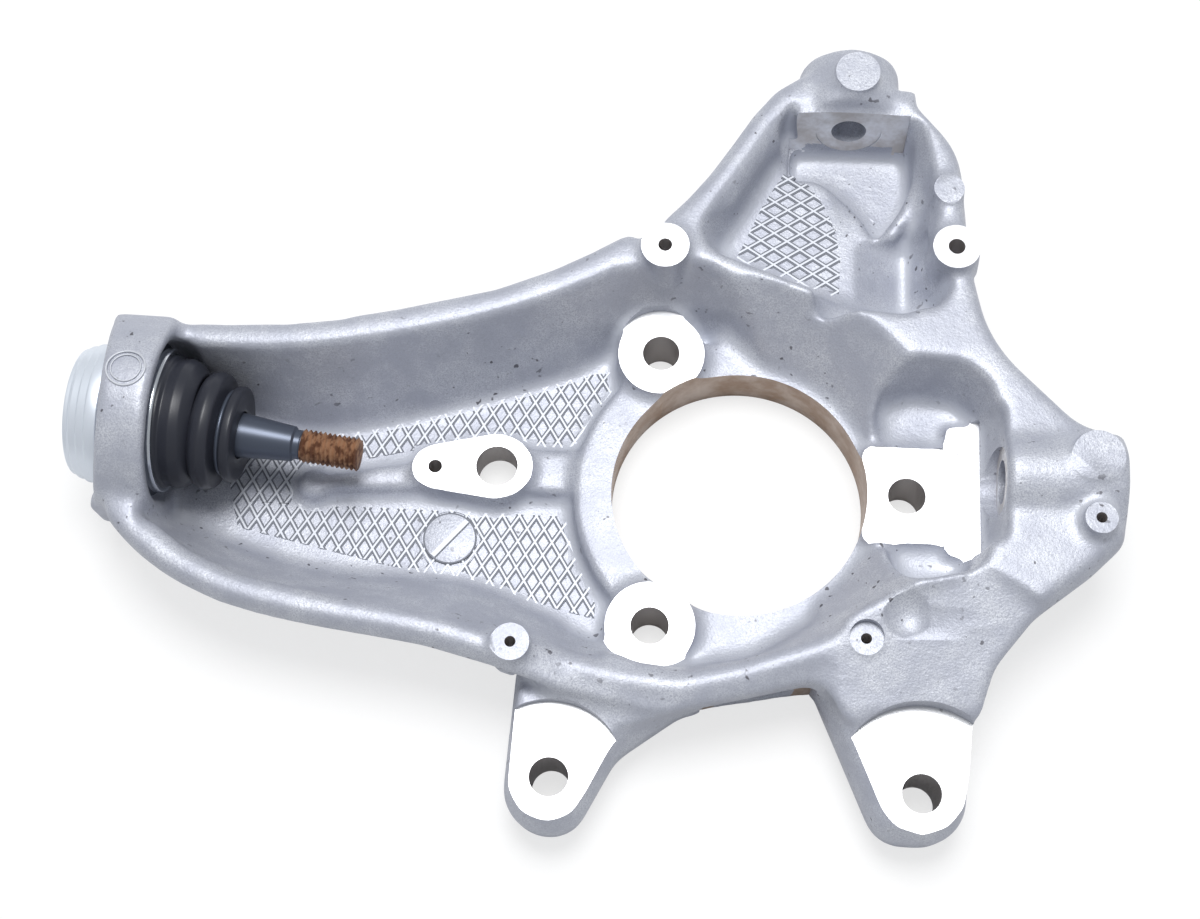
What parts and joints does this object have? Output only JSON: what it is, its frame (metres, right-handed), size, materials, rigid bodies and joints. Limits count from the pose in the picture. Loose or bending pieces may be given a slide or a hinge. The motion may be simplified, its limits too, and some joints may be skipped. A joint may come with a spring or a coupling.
{
  "type": "steering knuckle",
  "caption": "Cast aluminium steering knuckle with a hub bore, bolted hub seat, caliper ears, an upper head, a side arm and a ball joint pressed into its trough-shaped arm.",
  "frame": {"origin": "on the hub axis, in the plane of the outboard hub face", "axes": "+Z along the hub axis towards the inboard side, +X away from the ball joint, +Y towards the upper head"},
  "size_m": [0.3716, 0.2929, 0.072],
  "materials": {
    "cast_aluminium": "shot-blasted casting with machined seats",
    "housing_steel": "zinc plated",
    "ring_steel": "dark spring steel",
    "shell_plastic": "natural bearing plastic",
    "boot_rubber": "matt black",
    "stud_steel": "dark phosphated, with a rusty thread"
  },
  "bodies": {
    "knuckle": {"knuckle_casting": "cast_aluminium", "ball_joint_housing": "housing_steel", "housing_cap": "housing_steel", "retaining_ring": "ring_steel", "rubber_boot": "boot_rubber", "boot_clamp_ring": "ring_steel"},
    "ball_race": {"bearing_shell": "shell_plastic"},
    "boot_neck": {"boot_neck_ring": "ring_steel"},
    "ball_stud": {"ball_stud": "stud_steel"}
  },
  "joints": [
    {"name": "stud_swing", "type": "hinge", "parent": "knuckle", "child": "ball_race", "pos_m": [-0.2195, 0.014, 0.036], "axis": [0, 0, 1], "range_deg": [-14, 11], "deforming": ["rubber_boot"]},
    {"name": "stud_rock", "type": "hinge", "parent": "ball_race", "child": "boot_neck", "pos_m": [-0.2195, 0.014, 0.036], "axis": [-0.1305, -0.9914, 0], "range_deg": [-6, 16]},
    {"name": "stud_spin", "type": "hinge", "parent": "boot_neck", "child": "ball_stud", "pos_m": [-0.2195, 0.014, 0.036], "axis": [0.9914, -0.1305, 0], "continuous": true}
  ]
}
